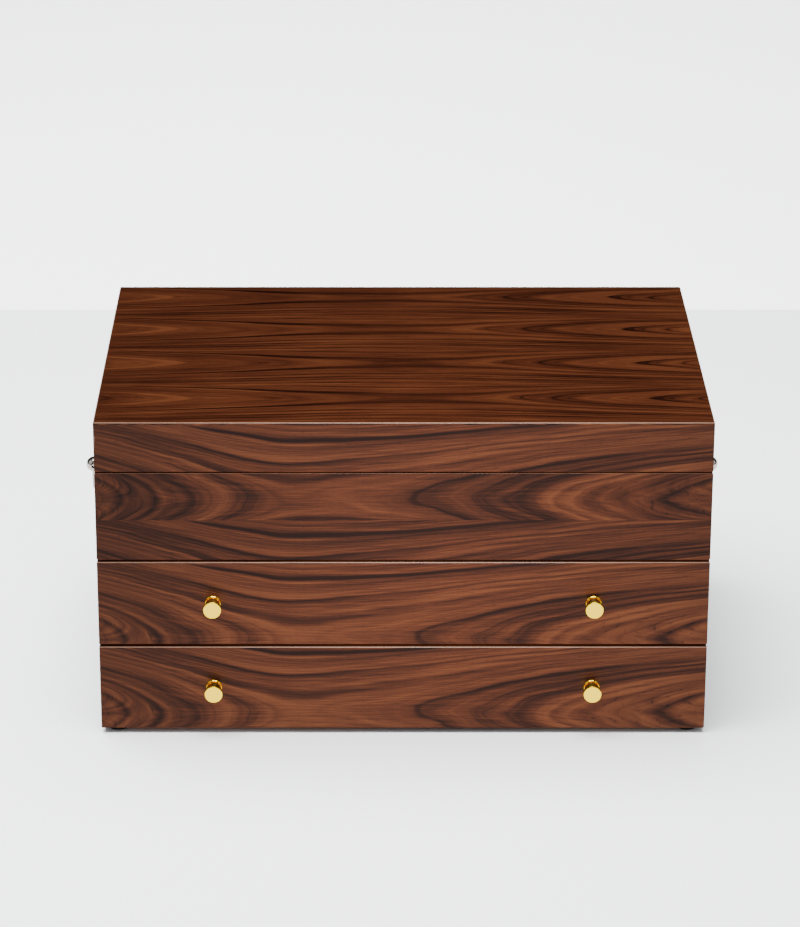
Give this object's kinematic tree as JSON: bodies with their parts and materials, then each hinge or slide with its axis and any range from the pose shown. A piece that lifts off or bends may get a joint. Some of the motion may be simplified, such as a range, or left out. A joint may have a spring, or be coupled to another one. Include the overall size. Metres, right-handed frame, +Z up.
{
  "type": "jewellery chest with drawers",
  "caption": "Rectangular walnut jewellery chest with a hinged lid over a divided, lined well, full-width drawers below with brass knobs, and a nickel-plated bail handle on each side.",
  "frame": {"origin": "on the floor, under the middle of the overall box", "axes": "+X to the right seen from the front, +Y to the back, +Z up; the drawers open towards -Y"},
  "size_m": [0.406, 0.278, 0.2094],
  "materials": {
    "walnut": "satin lacquered walnut veneer",
    "inner_walnut": "matt stained wood",
    "brass": "polished and lacquered",
    "nickel": "polished nickel plate",
    "suede": "faux suede",
    "velvet": "velvet over foam",
    "felt": "dense felt",
    "rubber": "matt",
    "mirror": "silvered glass"
  },
  "bodies": {
    "case": {"bottom_panel": "inner_walnut", "left_side_panel": "walnut", "right_side_panel": "walnut", "back_panel": "walnut", "well_front_panel": "walnut", "well_floor_panel": "inner_walnut", "drawer_shelf": "inner_walnut", "drawer_glides": "felt", "drawer_bumpers": "felt", "lid_bumpers": "felt", "feet": "rubber", "well_floor_pad": "suede", "well_wall_liners": "suede", "well_cross_dividers": "suede", "well_long_dividers": "suede", "ring_bed": "suede", "ring_rolls": "velvet", "left_hinge_case_leaf": "brass", "right_hinge_case_leaf": "brass", "hinge_pins": "brass", "hinge_case_screws": "brass", "handle_posts": "nickel", "handle_nuts": "nickel"},
    "lid": {"lid_top_panel": "walnut", "lid_front_rail": "walnut", "lid_back_rail": "walnut", "lid_left_rail": "walnut", "lid_right_rail": "walnut", "lid_lining_board": "suede", "lid_wall_liners": "suede", "mirror_glass": "mirror", "mirror_frame": "walnut", "left_hinge_lid_leaf": "brass", "right_hinge_lid_leaf": "brass", "hinge_lid_screws": "brass"},
    "left_hinge_arm": {"left_hinge_arm": "brass"},
    "right_hinge_arm": {"right_hinge_arm": "brass"},
    "left_handle": {"left_handle_bail": "nickel"},
    "right_handle": {"right_handle_bail": "nickel"},
    "upper_drawer": {"upper_drawer_front": "walnut", "upper_drawer_left_side": "inner_walnut", "upper_drawer_right_side": "inner_walnut", "upper_drawer_back": "inner_walnut", "upper_drawer_bottom": "inner_walnut", "upper_drawer_floor_pad": "suede", "upper_drawer_wall_liners": "suede", "upper_drawer_dividers": "suede", "upper_drawer_knobs": "brass", "upper_drawer_knob_screws": "brass"},
    "lower_drawer": {"lower_drawer_front": "walnut", "lower_drawer_left_side": "inner_walnut", "lower_drawer_right_side": "inner_walnut", "lower_drawer_back": "inner_walnut", "lower_drawer_bottom": "inner_walnut", "lower_drawer_floor_pad": "suede", "lower_drawer_wall_liners": "suede", "lower_drawer_dividers": "suede", "lower_drawer_knobs": "brass", "lower_drawer_knob_screws": "brass"}
  },
  "joints": [
    {"name": "lid_hinge", "type": "hinge", "parent": "case", "child": "lid", "pos_m": [0, 0.1366, 0.1764], "axis": [-1, 0, 0], "range_deg": [0, 94]},
    {"name": "left_hinge_arm_turn", "type": "hinge", "parent": "case", "child": "left_hinge_arm", "pos_m": [0, 0.1366, 0.1764], "axis": [-1, 0, 0], "range_deg": [0, 47]},
    {"name": "right_hinge_arm_turn", "type": "hinge", "parent": "case", "child": "right_hinge_arm", "pos_m": [0, 0.1366, 0.1764], "axis": [-1, 0, 0], "range_deg": [0, 47]},
    {"name": "upper_drawer_slide", "type": "slide", "parent": "case", "child": "upper_drawer", "axis": [0, -1, 0], "range_m": [0, 0.18]},
    {"name": "lower_drawer_slide", "type": "slide", "parent": "case", "child": "lower_drawer", "axis": [0, -1, 0], "range_m": [0, 0.18]},
    {"name": "left_handle_swing", "type": "hinge", "parent": "case", "child": "left_handle", "pos_m": [-0.1982, 0.003, 0.1431], "axis": [0, 1, 0], "range_deg": [-17, 197]},
    {"name": "right_handle_swing", "type": "hinge", "parent": "case", "child": "right_handle", "pos_m": [0.1982, 0.003, 0.1431], "axis": [0, -1, 0], "range_deg": [-17, 197]}
  ],
  "couplings": [
    {"joint": "left_hinge_arm_turn", "follows": "lid_hinge", "ratio": 0.5},
    {"joint": "right_hinge_arm_turn", "follows": "lid_hinge", "ratio": 0.5}
  ]
}
